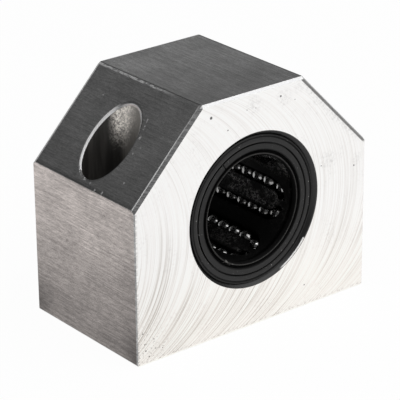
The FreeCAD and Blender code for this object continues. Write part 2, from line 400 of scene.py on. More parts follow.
@dataclass(frozen=True)
class Block:
    """The block's sizes in millimetres: the outer ones come from its solid."""

    half_width: float
    half_length: float
    top_height: float
    side_height: float = 29.5
    half_top: float = 11.5
    pocket_middle: float = 20.0
    pocket_wall: float = 5.27
    pocket_rim: float = 5.75
    bore_edge: float = 14.75
    pocket_top: Range = (26.0, 28.0)
    shoulder_foot: Range = (28.6, 29.4)

    @property
    def slope_lean(self) -> float:
        """How far a shoulder's slope goes outwards for each millimetre down."""
        return (self.half_width - self.half_top) / (self.top_height - self.side_height)


@dataclass(frozen=True)
class MilledEnds:
    """The fly-cut ends: the cutter's arcs, pits by one foot, smudges and worn borders."""

    block: Block
    level: float = 1.0
    arc_radius: float = 25.0
    arc_drift: float = 0.03
    fine_pitch: float = 3.3
    broad_pitch: float = 1.5
    slow_pitch: float = 0.28
    slow_drift: float = 0.05
    low_left_lean: float = 0.6
    low_left: Range = (26.0, -4.0)
    right: Range = (6.0, 17.0)
    right_share: float = 0.55
    least_share: float = 0.36
    fine_line: Range = (0.46, 0.72)
    broad_line: Range = (0.48, 0.7)
    low_strength: float = 1.7
    arc_share: float = 0.33
    patch_share: float = 0.14
    smudge_share: float = 0.24
    spot_share: float = 0.42
    mottle: Grain = Grain((1.6, 1.6, 1.6), 4.0, 0.7)
    cloud: Grain = Grain((0.2, 0.2, 0.2), 3.0, 0.6)
    pit: Grain = Grain((2.2, 2.2, 2.2), 4.0, 0.75)
    tooth: Grain = Grain((0.3, 0.3, 3.2), 1.0, 0.5)
    pit_share: float = 0.6
    foot_share: float = 0.22
    tooth_share: float = 0.3
    shoulder_share: float = 0.75
    smudge_reach: Range = (3.4, 0.4)
    pit_corner: float = 24.5
    pit_reach: Range = (8.0, 2.0)
    foot_reach: Range = (1.2, 0.2)
    tooth_reach: Range = (0.75, 0.2)
    shoulder_reach: Range = (1.25, 1.05)
    smudges: tuple[Mark, ...] = (
        (0.2, 42.4, 2.2), (7.0, 42.2, 2.2), (10.6, 43.6, 2.0), (17.5, 27.5, 2.4), (24.5, 26.0, 1.6),
    )

    def arcs(self, g: Graph) -> tuple[Socket, Socket]:
        """Draws the cutter's arcs, darker low on the left and on the right.

        Args:
            g: the material's node tree.

        Returns:
            How dark a line is, and the arcs' height.
        """
        squared = g.math("SUBTRACT", self.arc_radius ** 2, g.math("MULTIPLY", g.rise, g.rise))
        reach = g.math("SQRT", g.math("MAXIMUM", squared, 0.01))
        across = g.math("SUBTRACT", g.x, reach)
        drift = g.math("MULTIPLY", g.z, self.arc_drift)
        fine = g.noise(g.join(g.math("MULTIPLY", across, self.fine_pitch), drift, 0.0), 1.0, 2.0, 0.6)
        broad = g.noise(g.join(g.math("MULTIPLY", across, self.broad_pitch), drift, 7.0), 1.0, 3.0, 0.65)
        slow_drift = g.math("MULTIPLY", g.z, self.slow_drift)
        slow = g.noise(g.join(g.math("MULTIPLY", across, self.slow_pitch), slow_drift, 3.0), 1.0, 2.0)
        low_left = g.band(g.math("ADD", g.math("MULTIPLY", g.x, self.low_left_lean), g.z), *self.low_left)
        right = g.band(g.x, *self.right, 0.0, self.right_share)
        share = g.math("MAXIMUM", g.math("MAXIMUM", low_left, right), self.least_share)
        lines = g.math("ADD", g.band(fine, *self.fine_line, 0.0, 0.95),
                       g.band(broad, *self.broad_line, 0.0, 0.6))
        stronger = g.band(g.z, 24.0, 2.0, 1.0, self.low_strength)
        lines = g.both(lines, share, g.band(slow, 0.3, 0.6, 0.5, 1.1), stronger)
        return lines, g.math("ADD", g.math("MULTIPLY", fine, 0.5), broad)

    def shade(self, g: Graph, arcs: Socket) -> Socket:
        """Lays arcs, patches, smudges and worn borders over the ends' plain level.

        Args:
            g: the material's node tree.
            arcs: how dark the cutter's lines are.

        Returns:
            The level.
        """
        mottle = g.grain(self.mottle)
        cut = g.math("SUBTRACT", self.level, g.math("MULTIPLY", arcs, self.arc_share))
        patch = g.both(g.band(g.grain(self.cloud), 0.48, 0.72), g.band(mottle, 0.45, 0.7))
        cut = g.math("SUBTRACT", cut, g.math("MULTIPLY", patch, self.patch_share))
        lean = self.block.slope_lean
        widest = self.block.half_top + lean * self.block.top_height
        from_slope = g.math("SUBTRACT", g.math("SUBTRACT", widest, g.math("MULTIPLY", g.z, lean)), g.x)
        smudge = g.both(g.band(from_slope, *self.smudge_reach), g.band(g.z, 28.0, 32.0))
        spots = g.math("MULTIPLY", g.marks(g.x, g.z, self.smudges), self.spot_share)
        smudge = g.both(g.math("MAXIMUM", smudge, spots), g.band(mottle, 0.40, 0.62))
        cut = g.math("SUBTRACT", cut, g.math("MULTIPLY", smudge, self.smudge_share))
        corner = g.far(g.math("ADD", g.x, self.pit_corner), g.math("MULTIPLY", g.z, 0.8))
        pits = g.both(g.band(corner, *self.pit_reach), g.band(g.grain(self.pit), 0.55, 0.63))
        foot = g.both(g.band(g.z, *self.foot_reach), g.band(mottle, 0.48, 0.6))
        from_left = g.math("ADD", g.x, self.block.half_width)
        teeth = g.both(g.band(from_left, *self.tooth_reach), g.band(g.grain(self.tooth), 0.42, 0.56))
        shoulder = g.both(g.band(from_slope, *self.shoulder_reach), g.band(g.z, *self.block.shoulder_foot))
        shares = ((pits, self.pit_share), (foot, self.foot_share), (teeth, self.tooth_share),
                  (shoulder, self.shoulder_share))
        for mask, share in shares:
            cut = g.both(cut, g.math("SUBTRACT", 1.0, g.math("MULTIPLY", mask, share)))
        return cut


@dataclass(frozen=True)
class DrawnFaces:
    """The long faces as they left the die: sides, shoulder slopes and top, with a grain along the shaft and
    painted shade low on the sides.
    """

    block: Block
    side: float = 0.50
    slope: float = 0.43
    top: float = 0.585
    # the sides' level at the foot, where the painted shade is deepest
    foot: float = 0.26
    fine: Grain = Grain((4.6, 0.6, 4.6), 3.0, 0.75)
    streak: Grain = Grain((2.3, 0.05, 2.3), 4.0, 0.7)
    fleck: Grain = Grain((4.0, 4.0, 4.0), 3.0, 0.75)
    cloud: Grain = Grain((0.16, 0.16, 0.16), 4.0, 0.6)
    fine_weight: float = 0.35
    streak_weight: float = 0.4
    fleck_weight: float = 0.25
    foot_painted_shade: Range = (1.0, 27.0)
    front_fade: Range = (-6.0, -14.5)
    front_share: float = 0.84
    corner_reach: Range = (9.0, 15.0)
    corner_rise: Range = (9.0, 2.0)
    corner_share: float = 0.35
    slope_top: float = 38.0
    top_fade: Range = (-13.0, 12.0)
    foot_line: float = 0.45
    foot_line_rise: Range = (30.3, 29.4)
    top_line: float = 0.66
    top_line_reach: float = 0.5

    def shade(self, g: Graph, side_face: Socket, top_face: Socket, slope: Socket) -> tuple[Socket, Socket]:
        """Shades each long face, darkening the sides towards the foot as painted shade, and lays the grain
        over all of them.

        Args:
            g: the material's node tree.
            side_face: the sides' mask.
            top_face: the top's mask.
            slope: the shoulder slopes' mask.

        Returns:
            The level, and the grain's height.
        """
        fine, streak, fleck = g.grain(self.fine), g.grain(self.streak), g.grain(self.fleck)
        grain = g.math("ADD", g.math("MULTIPLY", fine, self.fine_weight),
                       g.math("MULTIPLY", streak, self.streak_weight))
        grain = g.math("ADD", grain, g.math("MULTIPLY", fleck, self.fleck_weight))
        # painted shade: the sides darken towards the foot; they are also darker towards the front
        shade = g.band(g.z, *self.foot_painted_shade, self.foot * 0.88, self.side * 0.93)
        shade = g.both(shade, g.band(g.y, *self.front_fade, 1.0, self.front_share))
        corner = g.band(g.size(g.y), *self.corner_reach)
        corner = g.both(corner, g.band(g.z, *self.corner_rise), self.corner_share)
        shade = g.both(shade, g.math("SUBTRACT", 1.0, corner))
        slopes = g.band(g.z, self.block.side_height, self.slope_top, self.slope * 0.92, self.slope * 1.12)
        level = g.mix(side_face, slopes, shade)
        level = g.mix(top_face, level, g.band(g.y, *self.top_fade, self.top * 0.8, self.top * 1.02))
        level = g.both(level, g.band(fine, 0.3, 0.7, 0.78, 1.22), g.band(streak, 0.3, 0.7, 0.84, 1.18))
        cloud = g.grain(self.cloud)
        level = g.both(level, g.band(fleck, 0.3, 0.7, 0.8, 1.2), g.band(cloud, 0.3, 0.7, 1.1, 0.88))
        foot_line = g.both(slope, g.band(g.z, *self.foot_line_rise, 0.0, self.foot_line))
        ridge = g.near(g.size(g.x), self.block.half_top, self.top_line_reach)
        top_line = g.both(top_face, ridge, self.top_line)
        level = g.both(level, g.math("SUBTRACT", 1.0, g.math("MAXIMUM", foot_line, top_line)))
        return level, grain


@dataclass(frozen=True)
class DrilledPockets:
    """The head pockets: a rough wall with painted light high on one side and painted shade elsewhere, and a
    chamfered rim with a painted highlight and painted shade.
    """

    block: Block
    # the level of the painted highlight on the rim
    bright: float = 0.95
    wall: Grain = Grain((2.6, 2.6, 2.6), 4.0, 0.75)
    drift: Grain = Grain((0.7, 0.7, 0.7), 3.0, 0.6)
    nick: Grain = Grain((2.6, 2.6, 2.6), 2.0, 0.6)
    lit_rise: Range = (36.0, 41.0)
    lit_outer: Range = (62.0, 40.0)
    lit_inner: Range = (-14.0, 24.0)
    drift_rise: float = 4.0
    wall_rise: float = 3.0
    shade_level: Range = (0.045, 0.055)
    crescent: Range = (28.0, 52.0)
    nicked: Range = (110.0, 160.0)
    rim_dark: Range = (40.0, 20.0)
    rim_shade: float = 0.3
    rim_line: float = 5.34
    rim_line_reach: float = 0.12
    rim_line_end: Range = (-150.0, -60.0)

    def lay(self, g: Graph, coat: Coat) -> Socket:
        """Lays the walls and rims on the block's finish.

        Args:
            g: the material's node tree.
            coat: the block's finish.

        Returns:
            The pockets' mask.
        """
        toward = g.math("SUBTRACT", self.block.pocket_middle, g.size(g.x))
        away = g.far(toward, g.y)
        angle = g.degrees(g.y, toward)
        inside = g.math("LESS_THAN", away, self.block.pocket_wall)
        self.lay_wall(g, coat, angle, inside)
        high = g.band(g.z, *self.block.pocket_top)
        rim = g.both(high, g.band(away, self.block.pocket_rim + 0.05, self.block.pocket_rim - 0.1),
                     g.math("SUBTRACT", 1.0, inside))
        # painted highlight: a bright crescent on the rim, broken by nicks
        nick_line = g.math("ADD", g.grain(self.nick), g.band(angle, *self.nicked, 0.25, -0.1))
        crescent = g.both(rim, g.band(angle, *self.crescent), g.band(nick_line, 0.42, 0.5))
        coat.over(crescent, level=self.bright, metal=0.0, red=0.0, blue=0.0, rough=0.5)
        # painted shade over the rim's right part
        right = g.band(angle, *self.rim_dark)
        coat.dim(g.both(rim, right), self.rim_shade)
        # painted highlight: a thin bright line round the rim, fading with the angle away from the bore's side
        thin = g.both(high, g.near(away, self.rim_line, self.rim_line_reach), right,
                      g.band(angle, *self.rim_line_end))
        coat.over(thin, level=g.band(g.size(angle), 20.0, 90.0, 0.8, 0.12), metal=0.0, rough=0.5)
        return inside

    def lay_wall(self, g: Graph, coat: Coat, angle: Socket, inside: Socket) -> None:
        """Lays the rough wall, with painted light high on one side and painted shade elsewhere.

        Args:
            g: the material's node tree.
            coat: the block's finish.
            angle: the angle round the pocket, in degrees from its inner side.
            inside: the pockets' mask.
        """
        rough_wall = g.grain(self.wall)
        climb = g.math("ADD", g.z, g.math("MULTIPLY", g.grain(self.drift), self.drift_rise))
        climb = g.math("ADD", climb, g.math("MULTIPLY", rough_wall, self.wall_rise))
        climb = g.math("SUBTRACT", climb, g.band(angle, 26.0, 4.0, 0.0, 2.6))
        # painted light high on the wall's one side, and painted shade over the rest of the pocket
        painted_light = g.both(g.band(climb, *self.lit_rise), g.band(angle, *self.lit_outer),
                     g.band(angle, *self.lit_inner, 0.16, 1.0))
        streaks = g.noise(g.join(angle, g.math("MULTIPLY", g.z, 1.2), 0.0), 0.07, 3.0, 0.6)
        dim = g.mix(g.near(angle, 82.0, 34.0), *self.shade_level)
        dark = g.both(g.band(streaks, 0.35, 0.75, 0.6, 1.3), dim)
        shine = g.band(rough_wall, 0.38, 0.62, 0.24, 1.0)
        coat.over(inside, level=g.mix(painted_light, dark, shine), metal=painted_light, red=0.06, blue=0.07, rough=0.5)


@dataclass(frozen=True)
class EdgeMarksAndHighlights:
    """The chamfers and burrs along the block's edges, with the burrs, glints and top bevel painted bright as
    highlights, and painted shadow with a painted highlight sliver over the edge of the bearing's bore.
    """

    block: Block
    # the level of the painted highlights on the top bevel and on the bore's sliver
    bright: float = 0.95
    burr_highlight: float = 0.75
    glint: float = 0.55
    chamfer: Range = (0.28, 0.5)
    burr_line: float = 14.2
    burr_reach: float = 0.16
    burr_rise: Range = (29.2, 29.8)
    burr_fade: Range = (43.6, 37.0)
    burr_top: Range = (11.2, 11.9)
    glint_reach: Range = (0.55, 0.38)
    glint_fade: Range = (-9.0, -1.0)
    glint_below_top: Range = (0.01, 0.07)
    bevel_reach: Range = (0.5, 0.4)
    foot_reach: Range = (0.35, 0.1)
    fine: Grain = Grain((3.0, 3.0, 3.0), 2.0, 0.6)
    broken: Grain = Grain((2.0, 1.3, 2.0), 4.0, 0.7)
    bore_shadow: float = 0.004
    bore_shift: Range = (0.2, -0.02)
    sliver_from: Range = (-66.0, -61.0)
    sliver_to: Range = (-35.8, -37.2)
    sliver_inner: Range = (14.5, 14.56)
    sliver_outer: Range = (0.07, 0.13)

    def lay(self, g: Graph, coat: Coat, chamfer: Socket, end_face: Socket) -> None:
        """Lays the edges on the block's finish.

        Args:
            g: the material's node tree.
            coat: the block's finish.
            chamfer: the shoulders' chamfers, as a mask.
            end_face: the ends' mask.
        """
        block = self.block
        wide, deep = g.size(g.x), g.size(g.y)
        fine = g.grain(self.fine)
        hatch = g.noise(g.join(g.math("MULTIPLY", g.z, 4.2), g.math("MULTIPLY", g.y, 0.4), 0.0), 1.0, 1.0)
        coat.over(chamfer, level=g.band(hatch, 0.35, 0.65, *self.chamfer), red=0.0, blue=0.0)
        not_end = g.math("SUBTRACT", 1.0, end_face)
        # painted highlight: the burr along the shoulder's front edge is painted white
        burr_highlight = g.both(g.near(deep, self.burr_line, self.burr_reach), g.band(g.z, *self.burr_rise), not_end,
                      g.band(g.z, *self.burr_fade, 0.35, 1.0), g.band(fine, 0.28, 0.42, 0.45, 1.0),
                      g.band(wide, *self.burr_top), g.band(g.y, 2.0, -2.0, 0.15, 1.0))
        coat.over(burr_highlight, level=self.burr_highlight, metal=0.0, red=0.0, blue=0.0)
        ridge = g.far(g.math("SUBTRACT", wide, block.half_top), g.math("SUBTRACT", g.z, block.top_height))
        down = g.math("SUBTRACT", block.top_height, g.z)
        inwards = g.math("SUBTRACT", block.half_length, deep)
        broken = g.band(g.grain(self.broken), 0.42, 0.54)
        # painted highlights: broken glints along the ridge between the top and the slopes
        glints = g.both(g.band(ridge, *self.glint_reach), g.band(down, *self.glint_below_top), broken,
                        not_end, g.band(g.y, *self.glint_fade, 0.1, 1.0))
        coat.over(glints, level=self.glint, metal=0.0)
        # painted highlight along the top's bevel at the ends
        bevel = g.both(g.band(down, *self.bevel_reach), g.band(inwards, *self.bevel_reach), not_end)
        coat.over(bevel, level=self.bright * 0.86, metal=0.3, red=0.0, blue=0.0)
        foot = g.both(end_face, g.band(g.z, *self.foot_reach))
        coat.over(foot, level=1.0)

    def lay_bore(self, g: Graph, coat: Coat) -> None:
        """Lays painted shadow over the edge of the bore, and a painted highlight, the bright sliver, on its
        lower right.

        Args:
            g: the material's node tree.
            coat: the block's finish.
        """
        across, up = self.bore_shift
        lean = g.far(g.math("SUBTRACT", g.x, across), g.math("SUBTRACT", g.rise, up))
        angle = g.degrees(g.rise, g.x)
        within = g.math("SUBTRACT", self.block.bore_edge, lean)
        # painted highlight: the bright sliver on the bore's lower right
        sliver = g.both(g.band(angle, *self.sliver_from), g.band(angle, *self.sliver_to),
                        g.band(g.radius, *self.sliver_inner), g.band(within, *self.sliver_outer),
                        g.math("LESS_THAN", g.y, 0.0))
        # painted shadow over the bore's chamfer
        coat.over(g.band(within, -0.05, 0.02), level=self.bore_shadow, metal=0.0)
        coat.over(sliver, level=self.bright, metal=0.0, rough=0.5)


@dataclass(frozen=True)
class MachinedAluminium:
    """The block's metal: fly-cut ends, drawn long faces, drilled pockets, edges with wear and painted
    highlights, and small marks.
    """

    block: Block
    name: str = "machined_aluminium"
    front_marks: tuple[Mark, ...] = (
        (-9.6, 42.4, 0.36), (-5.9, 39.2, 0.18), (6.1, 42.6, 0.24), (15.8, 26.8, 0.15), (12.0, 4.2, 0.17),
        (9.4, 41.2, 0.12), (-24.6, 2.6, 0.2), (-22.8, 4.4, 0.16), (-1.6, 41.9, 0.12), (0.4, 41.8, 0.12),
        (23.8, 24.8, 0.2), (-25.2, 6.1, 0.16), (-20.9, 2.1, 0.14), (-23.9, 1.3, 0.17),
    )
    side_marks: tuple[Mark, ...] = ((5.1, 17.4, 0.35), (3.5, 19.5, 0.2), (-6.5, 26.0, 0.2))
    scratches: tuple[Mark, ...] = (
        (-5.04, 40.63, 0.2), (-5.14, 40.35, 0.18), (-5.36, 39.75, 0.2), (-5.5, 39.35, 0.17),
        (-5.9, 38.2, 0.32), (-8.8, 32.2, 0.22), (-3.4, 29.75, 0.26), (-5.4, 29.85, 0.26), (-1.4, 30.3, 0.2),
        (8.6, 41.2, 0.18), (-7.4, 37.1, 0.16), (-6.6, 36.0, 0.18),
    )
    mark_shade: float = 0.88
    dent_shade: float = 0.3
    scratch_level: float = 0.4
    mark_depth: float = 2.0
    grain_depth: float = 0.012
    end_roughness: float = 0.36
    long_roughness: float = 0.44
    drilled: Grain = Grain((2.3, 2.3, 2.3), 4.0, 0.7)

    def build(self) -> bpy.types.Material:
        """Makes the material.

        Returns:
            The material.
        """
        g = Graph(self.name)
        nx, ny, nz = g.split(g.normal)
        end_face = g.band(g.size(ny), 0.75, 0.92)
        side_face = g.band(g.size(nx), 0.85, 0.96)
        top_face = g.both(g.band(nz, 0.9, 0.98), g.band(g.z, 40.0, 44.0))
        slope = g.both(g.band(nz, 0.5, 0.6), g.band(g.size(nx), 0.5, 0.6))
        chamfer = g.both(g.band(g.size(ny), 0.2, 0.3), g.band(g.size(ny), 0.76, 0.7), g.band(g.z, 28.6, 29.2),
                         g.band(g.size(nx), 0.15, 0.3))
        ends = MilledEnds(self.block)
        arcs, arc_height = ends.arcs(g)
        level, grain = DrawnFaces(self.block).shade(g, side_face, top_face, slope)
        rough = g.math("ADD", g.mix(end_face, self.long_roughness, self.end_roughness),
                       g.band(grain, 0.36, 0.62, 0.05, -0.05))
        coat = Coat(g, g.mix(end_face, level, ends.shade(g, arcs)), g.math("MULTIPLY", side_face, 0.10),
                    g.math("MULTIPLY", side_face, 0.045), 1.0, rough)
        low = g.math("ADD", g.band(g.z, 22.0, 0.0), arcs)
        coat.over(end_face, red=g.math("ADD", 0.01, g.math("MULTIPLY", low, 0.028)),
                  blue=g.math("ADD", 0.012, g.math("MULTIPLY", low, 0.034)))
        marks = self.lay_marks(g, coat, side_face, slope)
        edges = EdgeMarksAndHighlights(self.block)
        edges.lay(g, coat, chamfer, end_face)
        inside = DrilledPockets(self.block).lay(g, coat)
        edges.lay_bore(g, coat)
        height = g.mix(end_face, grain, arc_height)
        height = g.math("SUBTRACT", height, g.math("MULTIPLY", marks, self.mark_depth))
        height = g.mix(inside, height, g.grain(self.drilled))
        coat.finish(g.bump(height, self.grain_depth, 0.5))
        return g.material

    def lay_marks(self, g: Graph, coat: Coat, side_face: Socket, slope: Socket) -> Socket:
        """Lays specks on the front, dents on the left side and scratches on the left slope.

        Args:
            g: the material's node tree.
            coat: the block's finish.
            side_face: the sides' mask.
            slope: the shoulder slopes' mask.

        Returns:
            The specks and dents, as a mask.
        """
        front = g.math("LESS_THAN", g.y, 1.0 - self.block.half_length)
        left = g.math("LESS_THAN", g.x, 0.0)
        specks = g.both(g.marks(g.x, g.z, self.front_marks), front)
        dents = g.both(g.marks(g.y, g.z, self.side_marks), side_face, left)
        scratches = g.both(g.marks(g.y, g.z, self.scratches), slope, left)
        coat.dim(specks, self.mark_shade)
        coat.dim(dents, self.dent_shade)
        coat.over(scratches, level=self.scratch_level, metal=0.0)
        return g.math("ADD", specks, dents)


@dataclass(frozen=True)
class DarkFinish:
    """A dark steel or plastic part of the bearing, with fine rings, a little dust and bands of painted shade.
    """

    name: str
    level: float
    roughness: float
    ring_pitch: float = 6.0
    ring_depth: float = 0.004
    dust: float = 0.5
    specular: float = 0.5
    shaded_within: float = 0.0
    painted_shade_rings: tuple[Range, ...] = ()
    cloud: Grain = Grain((0.9, 0.9, 0.9), 4.0, 0.7)
    speck: Grain = Grain((3.0, 3.0, 3.0), 2.0, 0.6)
    speck_level: float = 0.25
    shadow_level: float = 0.001
    dots: tuple[Mark, ...] = (
        (7.91, 33.66, 0.14), (13.1, 24.4, 0.12), (13.2, 21.4, 0.1), (-12.8, 23.9, 0.12), (-12.2, 21.0, 0.14),
        (-3.1, 35.2, 0.1), (9.6, 13.2, 0.12), (-10.2, 15.1, 0.1), (4.4, 10.4, 0.12),
    )

    def build(self) -> bpy.types.Material:
        """Makes the material.

        Returns:
            The material.
        """
        g = Graph(self.name)
        outwards = g.math("MULTIPLY", g.radius, self.ring_pitch)
        along = g.math("MULTIPLY", g.y, self.ring_pitch)
        rings = g.noise(g.join(outwards, along, 0.0), 1.0, 3.0)
        cloud = g.grain(self.cloud)
        specks = g.band(g.grain(self.speck), 0.68, 0.74, 0.0, self.dust)
        specks = g.math("MAXIMUM", specks, g.both(g.marks(g.x, g.z, self.dots), g.band(g.y, -14.0, -14.2)))
        # painted shade: the part darkens inside shaded_within and along the listed rings, at the recesses and
        # gaps between parts
        shaded: object = g.band(g.radius, self.shaded_within, self.shaded_within - 0.08)
        for radius, reach in self.painted_shade_rings:
            shaded = g.math("MAXIMUM", shaded, g.near(g.radius, radius, reach))
        colour = g.blend(g.band(cloud, 0.4, 0.7), grey(self.level, 0.02), grey(self.level * 1.9, 0.04))
        colour = g.blend(specks, colour, grey(self.speck_level, 0.03))
        colour = g.blend(shaded, colour, grey(self.shadow_level))
        rough = g.band(cloud, 0.3, 0.7, self.roughness - 0.05, self.roughness + 0.08)
        g.surface(Base_Color=colour, Roughness=g.mix(shaded, rough, 0.85), Specular_IOR_Level=self.specular,
                  Normal=g.bump(rings, self.ring_depth, 0.6))
        return g.material


@dataclass(frozen=True)
class LipRubber:
    """The lip seals' matt black rubber, with a thin rim painted lighter: partly wear, partly a painted
    highlight.
    """

    name: str = "seal_rubber"
    level: float = 0.0015
    # the rim's level: partly wear, partly a painted highlight
    worn: float = 0.045
    rim_radius: float = 10.4
    rim_reach: float = 0.16
    smear_level: float = 0.012
    blob_level: float = 0.14
    wear: Grain = Grain((2.4, 2.4, 2.4), 3.0, 0.6)
    smear: Grain = Grain((0.9, 0.9, 0.9), 5.0, 0.8)
    blobs: tuple[Mark, ...] = ((-6.0, 14.0, 0.42), (-4.7, 13.0, 0.32), (-5.2, 13.2, 0.2))

    def build(self) -> bpy.types.Material:
        """Makes the material.

        Returns:
            The material.
        """
        g = Graph(self.name)
        rim = g.both(g.near(g.radius, self.rim_radius, self.rim_reach), g.band(g.size(g.y), 14.3, 14.5))
        worn = g.band(g.grain(self.wear), 0.3, 0.6, 0.55, 1.0)
        smear = g.band(g.grain(self.smear), 0.56, 0.68, 0.0, 0.4)
        colour = g.blend(smear, grey(self.level), grey(self.smear_level, 0.04))
        # painted highlight and wear: the thin rim, broken in patches, is lighter than the rubber
        colour = g.blend(g.both(rim, worn), colour, grey(self.worn, 0.03))
        blobs = g.both(g.marks(g.x, g.z, self.blobs), g.band(g.y, -13.6, -13.8), worn)
        colour = g.blend(blobs, colour, grey(self.blob_level, 0.03))
        g.surface(Base_Color=colour, Roughness=g.mix(rim, 0.75, 0.45), Specular_IOR_Level=0.1,
                  Normal=g.bump(worn, 0.01, 0.4))
        return g.material


@dataclass(frozen=True)
class GreasedPlastic:
    """The cage's black moulded plastic, with grease smeared over the islands between the ball rows and high
    in the bore; the grease's glints are painted into its colour, and it is dimmed low in the bore as painted
    shade.
    """

    name: str = "greased_plastic"
    level: float = 0.002
    # the grease's level, a light grey with its glints painted in
    grease: float = 0.52
    island_reach: Range = (0.17, 0.13)
    island_end: Range = (11.0, 8.5)
    fine: Grain = Grain((3.2, 3.2, 3.2), 3.0, 0.75)
    mottle: Grain = Grain((1.3, 1.3, 1.3), 4.0, 0.8)
    smear: Grain = Grain((0.25, 0.25, 0.25), 2.0, 0.5)
    grease_depth: float = 0.25

    def build(self) -> bpy.types.Material:
        """Makes the material.

        Returns:
            The material.
        """
        g = Graph(self.name)
        turn = g.math("SUBTRACT", g.degrees(g.rise, g.x), FIRST_CIRCUIT_ANGLE)
        steps = g.math("DIVIDE", turn, 360 / CIRCUITS)
        off = g.size(g.math("SUBTRACT", steps, g.math("ROUND", steps)))
        island = g.both(g.band(off, *self.island_reach), g.band(g.size(g.y), *self.island_end))
        fine, mottle = g.grain(self.fine), g.grain(self.mottle)
        smear = g.band(g.grain(self.smear), 0.34, 0.56)
        # painted shade: the grease low in the bore is dimmed
        blobs = g.both(g.band(mottle, 0.44, 0.56), g.band(fine, 0.44, 0.58),
                       g.band(g.rise, -8.0, -2.0, 0.2, 1.0))
        upper = g.both(g.band(g.rise, 2.0, 5.0, 0.05, 0.45), g.band(g.y, 8.0, 3.0, 0.2, 1.0))
        grease = g.both(blobs, g.math("MAXIMUM", island, upper), smear)
        lumps = g.math("ADD", mottle, g.math("MULTIPLY", fine, 0.4))
        # grease with painted glints: a light grey over the black plastic
        g.surface(Base_Color=g.blend(grease, grey(self.level), grey(self.grease, 0.02)),
                  Roughness=g.mix(grease, 0.65, 0.25), Specular_IOR_Level=0.09,
                  Normal=g.bump(lumps, self.grease_depth, g.mix(island, 0.15, 0.9)))
        return g.material


@dataclass(frozen=True)
class PolishedBall:
    """The balls' polished steel under a thin film of dark grease."""

    name: str = "polished_ball"
    level: float = 0.36
    film_level: float = 0.216
    film: Grain = Grain((1.2, 1.2, 1.2), 3.0, 0.6)

    def build(self) -> bpy.types.Material:
        """Makes the material.

        Returns:
            The material.
        """
        g = Graph(self.name)
        film = g.grain(self.film)
        g.surface(Base_Color=g.blend(g.band(film, 0.4, 0.7), grey(self.level), grey(self.film_level, 0.03)),
                  Metallic=1.0, Roughness=g.band(film, 0.3, 0.7, 0.12, 0.24))
        return g.material


# ---------------------------------------------------------------- shapes


def piece_of(bm: bmesh.types.BMesh, name: str, material: bpy.types.Material,
             sharp: float) -> bpy.types.Object:
    """Makes a smooth object of a bmesh.

    Args:
        bm: the shape, which is freed.
        name: the piece's name.
        material: its finish.
        sharp: the angle from which an edge stays sharp, in degrees.

    Returns:
        The object.
    """
    bmesh.ops.recalc_face_normals(bm, faces=bm.faces[:])
    for face in bm.faces:
        face.smooth = True
    for edge in bm.edges:
        edge.smooth = len(edge.link_faces) == 2 and edge.calc_face_angle(math.pi) < math.radians(sharp)
    mesh = bpy.data.meshes.new(name)
    bm.to_mesh(mesh)
    bm.free()
    mesh.materials.append(material)
    piece = bpy.data.objects.new(name, mesh)
    bpy.context.collection.objects.link(piece)
    return piece


@dataclass(frozen=True)
class SmoothCopy:
    """A node's shape with its corners joined, so that its curved faces shade smoothly."""

    node: str
    name: str
    slot: str
    sharp: float = 24.0
    join_within: float = 0.001 * MM

    def build(self, material: bpy.types.Material) -> None:
        """Makes the piece.

        Args:
            material: the finish.
        """
        bm = bmesh.new()
        bm.from_mesh(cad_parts[self.node].data)
        bmesh.ops.remove_doubles(bm, verts=bm.verts[:], dist=self.join_within)
        piece = piece_of(bm, self.name, material, self.sharp)
        even = piece.modifiers.new("even_normals", "WEIGHTED_NORMAL")
        even.keep_sharp = True
        even.weight = 100
        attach(piece, "block")
        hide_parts(self.node)
        LOG.info("%s made", self.name)


